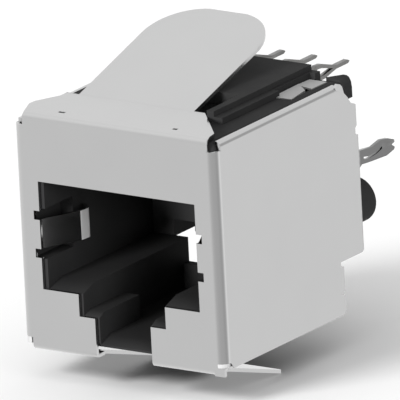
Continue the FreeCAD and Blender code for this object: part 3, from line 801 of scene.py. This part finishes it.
@dataclass(frozen=True)
class SkySpot:
    """Part of the sky that is brighter or darker than the rest.

    Its level is a factor. It starts where the cosine of the angle to its middle is the edge value,
    and is whole from the core value on.
    """

    towards: tuple[float, float, float]
    level: float
    edge: float
    core: float

    def place(self, nodes: bpy.types.Nodes, links: bpy.types.NodeLinks,
              view: bpy.types.NodeSocket) -> bpy.types.NodeSocket:
        """Adds the spot to the world.

        Args:
            nodes: Nodes of the world.
            links: Links of the world.
            view: Socket with the direction looked at.

        Returns:
            Socket with the factor by which the sky is scaled.
        """
        dot = nodes.new("ShaderNodeVectorMath")
        dot.operation = "DOT_PRODUCT"
        dot.inputs[1].default_value = Vector(self.towards).normalized()
        links.new(view, dot.inputs[0])
        lobe = nodes.new("ShaderNodeMapRange")
        lobe.interpolation_type = "SMOOTHSTEP"
        lobe.inputs["From Min"].default_value = self.edge
        lobe.inputs["From Max"].default_value = self.core
        lobe.inputs["To Min"].default_value = 1.0
        lobe.inputs["To Max"].default_value = self.level
        links.new(dot.outputs["Value"], lobe.inputs["Value"])
        return lobe.outputs["Result"]


@dataclass(frozen=True)
class SoftLight:
    """Broad light that isn't mirrored in the metal. Its softness is in degrees."""

    name: str
    energy: float
    source: tuple[float, float, float]
    softness: float

    def build(self, receivers: list[bpy.types.Object] | None = None) -> None:
        """Places the light.

        Args:
            receivers: Pieces that it lights, or nothing for all of them.
        """
        data = bpy.data.lights.new(self.name, "SUN")
        data.energy = self.energy
        data.angle = math.radians(self.softness)
        light = bpy.data.objects.new(self.name, data)
        bpy.context.scene.collection.objects.link(light)
        light.rotation_euler = Vector(self.source).to_track_quat("Z", "Y").to_euler()
        light.visible_glossy = False
        if receivers:
            lit = bpy.data.collections.new(f"{self.name}_receivers")
            for piece in receivers:
                lit.objects.link(piece)
            light.light_linking.receiver_collection = lit


@dataclass
class Studio:
    """Floor, soft surrounding light and the photograph's camera.

    The ring gives the sky's level at each bearing in degrees, for what the metal mirrors.
    """

    azimuth: float = 34.83
    elevation: float = 16.95
    roll: float = 3.0
    view_width: float = 26.2467 * MM
    centre: tuple[float, float, float] = (4.6229 * MM, -13.6961 * MM, 4.3813 * MM)
    distance: float = 3.0
    nearest: float = 0.01
    farthest: float = 20.0
    floor_colour: Colour = (0.86, 0.86, 0.86)
    floor_roughness: float = 0.9
    floor_reach: float = 3.0
    sky: float = 0.90
    backdrop: float = 1.0
    dome_low: float = 0.05
    dome_rise: float = 1.15
    ring: tuple[tuple[float, float], ...] = (
        (-180.0, 1.10), (-124.8, 1.0), (-112.0, 0.97), (-95.0, 0.78), (-65.0, 0.68), (-25.0, 0.65),
        (-5.0, 0.58), (8.0, 0.60), (22.0, 0.86), (32.0, 1.20), (42.0, 1.30), (52.0, 1.07),
        (90.0, 1.06), (126.0, 1.06), (136.0, 1.15), (150.0, 1.17))
    spots: tuple[SkySpot, ...] = (
        SkySpot((-0.546, -0.36, 0.756), 1.12, 0.86, 0.97),
        SkySpot((0.606, 0.785, 0.128), 0.55, 0.93, 0.985))
    key: SoftLight = SoftLight("key", 1.9, (-0.30, -0.70, 0.65), 22.0)
    fill: SoftLight = SoftLight("fill", 4.9, (-0.12, -0.96, 0.25), 16.0)
    rim: SoftLight = SoftLight("rim", 1.9, (0.85, -0.45, 0.26), 30.0)

    def build(self, floor_height: float, close_lit: list[bpy.types.Object]) -> None:
        """Sets the stage.

        Args:
            floor_height: Height of the floor in metres.
            close_lit: Pieces that the fill and the rim light reach. The key lights the floor alone.
        """
        floor = self._floor(floor_height)
        self._sky()
        self.key.build([floor])
        self.fill.build(close_lit)
        self.rim.build(close_lit)
        self._camera()
        bpy.context.scene.view_settings.view_transform = "Standard"
        LOG.info("stage: floor at %.2f mm", floor_height / MM)

    def _floor(self, height: float) -> bpy.types.Object:
        """Lays the pale floor.

        Args:
            height: Height of the floor in metres.

        Returns:
            The floor.
        """
        mesh = bpy.data.meshes.new("floor")
        reach = self.floor_reach
        corners = [(x * reach, y * reach, height) for x, y in ((-1, -1), (1, -1), (1, 1), (-1, 1))]
        mesh.from_pydata(corners, [], [(0, 1, 2, 3)])
        floor = bpy.data.objects.new("floor", mesh)
        bpy.context.scene.collection.objects.link(floor)
        canvas = Canvas("pale_floor")
        canvas.shader.inputs["Base Color"].default_value = opaque(self.floor_colour)
        canvas.shader.inputs["Roughness"].default_value = self.floor_roughness
        canvas.shader.inputs["Specular IOR Level"].default_value = 0.0
        mesh.materials.append(canvas.material)
        floor.visible_glossy = False
        floor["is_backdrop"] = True
        return floor

    def _sky(self) -> None:
        """Builds soft light from all round: a ring for gloss and a dome for matte surfaces."""
        world = bpy.data.worlds.new("studio")
        bpy.context.scene.world = world
        world.use_nodes = True
        nodes, links = world.node_tree.nodes, world.node_tree.links
        shade = nodes["Background"]
        shade.inputs["Color"].default_value = (1.0, 1.0, 1.0, 1.0)
        place = nodes.new("ShaderNodeTexCoord")
        split = nodes.new("ShaderNodeSeparateXYZ")
        links.new(place.outputs["Generated"], split.inputs[0])
        turn = nodes.new("ShaderNodeMath")
        turn.operation = "ARCTAN2"
        links.new(split.outputs["Y"], turn.inputs[0])
        links.new(split.outputs["X"], turn.inputs[1])
        share = nodes.new("ShaderNodeMath")
        share.operation = "MULTIPLY_ADD"
        links.new(turn.outputs[0], share.inputs[0])
        share.inputs[1].default_value = 1.0 / math.tau
        share.inputs[2].default_value = 0.5
        strength = self._ring_of_light(nodes, links, share.outputs[0])
        for spot in self.spots:
            level = spot.place(nodes, links, place.outputs["Generated"])
            both = nodes.new("ShaderNodeMath")
            both.operation = "MULTIPLY"
            links.new(strength, both.inputs[0])
            links.new(level, both.inputs[1])
            strength = both.outputs[0]
        dome = nodes.new("ShaderNodeMath")
        dome.operation = "MULTIPLY_ADD"
        links.new(split.outputs["Z"], dome.inputs[0])
        dome.inputs[1].default_value = self.dome_rise
        dome.inputs[2].default_value = self.dome_low
        ray = nodes.new("ShaderNodeLightPath")
        chosen = nodes.new("ShaderNodeMix")
        links.new(ray.outputs["Is Diffuse Ray"], chosen.inputs["Factor"])
        links.new(strength, chosen.inputs["A"])
        links.new(dome.outputs[0], chosen.inputs["B"])
        seen = nodes.new("ShaderNodeMix")
        links.new(ray.outputs["Is Camera Ray"], seen.inputs["Factor"])
        links.new(chosen.outputs["Result"], seen.inputs["A"])
        seen.inputs["B"].default_value = self.backdrop
        links.new(seen.outputs["Result"], shade.inputs["Strength"])

    def _ring_of_light(self, nodes: bpy.types.Nodes, links: bpy.types.NodeLinks,
                       share: bpy.types.NodeSocket) -> bpy.types.NodeSocket:
        """Gives the sky's strength by its bearing.

        Args:
            nodes: Nodes of the world.
            links: Links of the world.
            share: Socket with the bearing, from 0 to 1 for a whole turn.

        Returns:
            Socket with the strength.
        """
        ramp = nodes.new("ShaderNodeValToRGB")
        stops = ramp.color_ramp.elements
        top = max(level for _, level in self.ring)
        for stop, place in zip((stops[0], stops[1]), (0.0, 1.0)):
            stop.position = place
            stop.color = opaque((self.ring[0][1] / top,) * 3)
        for bearing, level in self.ring[1:]:
            stop = stops.new((bearing + 180.0) / 360.0)
            stop.color = opaque((level / top,) * 3)
        links.new(share, ramp.inputs["Fac"])
        scaled = nodes.new("ShaderNodeMath")
        scaled.operation = "MULTIPLY"
        scaled.inputs[1].default_value = self.sky * top
        links.new(ramp.outputs["Color"], scaled.inputs[0])
        return scaled.outputs[0]

    def _camera(self) -> None:
        """Places a camera with parallel rays, because the photograph has no perspective."""
        azimuth, elevation = math.radians(self.azimuth), math.radians(self.elevation)
        towards_camera = Vector((math.sin(azimuth) * math.cos(elevation),
                                 -math.cos(azimuth) * math.cos(elevation), math.sin(elevation)))
        data = bpy.data.cameras.new("camera")
        data.type = "ORTHO"
        data.ortho_scale = self.view_width
        data.clip_start = self.nearest
        data.clip_end = self.farthest
        camera = bpy.data.objects.new("camera", data)
        bpy.context.scene.collection.objects.link(camera)
        turn = towards_camera.to_track_quat("Z", "Y").to_matrix().to_4x4()
        roll = Matrix.Rotation(math.radians(-self.roll), 4, "Z")
        spot = Matrix.Translation(Vector(self.centre) + towards_camera * self.distance)
        camera.matrix_world = spot @ turn @ roll
        bpy.context.scene.camera = camera


@dataclass
class BoardJack:
    """The whole connector."""

    shield: Shield = field(default_factory=Shield)
    mouldings: Mouldings = field(default_factory=Mouldings)
    contacts: ContactRow = field(default_factory=ContactRow)

    def build(self, nodes: dict[str, bpy.types.Object]) -> list[bpy.types.Object]:
        """Builds and dresses every piece.

        Args:
            nodes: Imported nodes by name.

        Returns:
            The pieces that the fill and the rim light reach: the mouldings, the sheet and its webs.
        """
        groups = SharedGroups(build_grain_group(), build_shade_group(), build_border_group())
        sheet, web, *clips = self.shield.build(
            nodes, PlatedSheet().build(groups), MattePlating().build(groups))
        moulded = self.mouldings.build(nodes, MouldedPlastic().build(groups))
        contacts = self.contacts.build(nodes, PlatedContact().build(groups))
        close_lit = [*moulded, sheet, web]
        LOG.info("%d pieces dressed", len(close_lit) + len(clips) + len(contacts))
        return close_lit


def plain_box(corners: tuple[Vector, Vector]) -> list[list[float]]:
    """Turns a pair of corners into plain lists of numbers."""
    return [[float(value) for value in corner] for corner in corners]


def main() -> None:
    """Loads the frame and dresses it."""
    logging.basicConfig(level=logging.INFO, format="%(name)s: %(message)s")
    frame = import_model()
    packed = plain_box(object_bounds())
    close_lit = BoardJack().build(frame["nodes"])
    Studio().build(packed[0][2], close_lit)


if __name__ == "__main__":
    main()
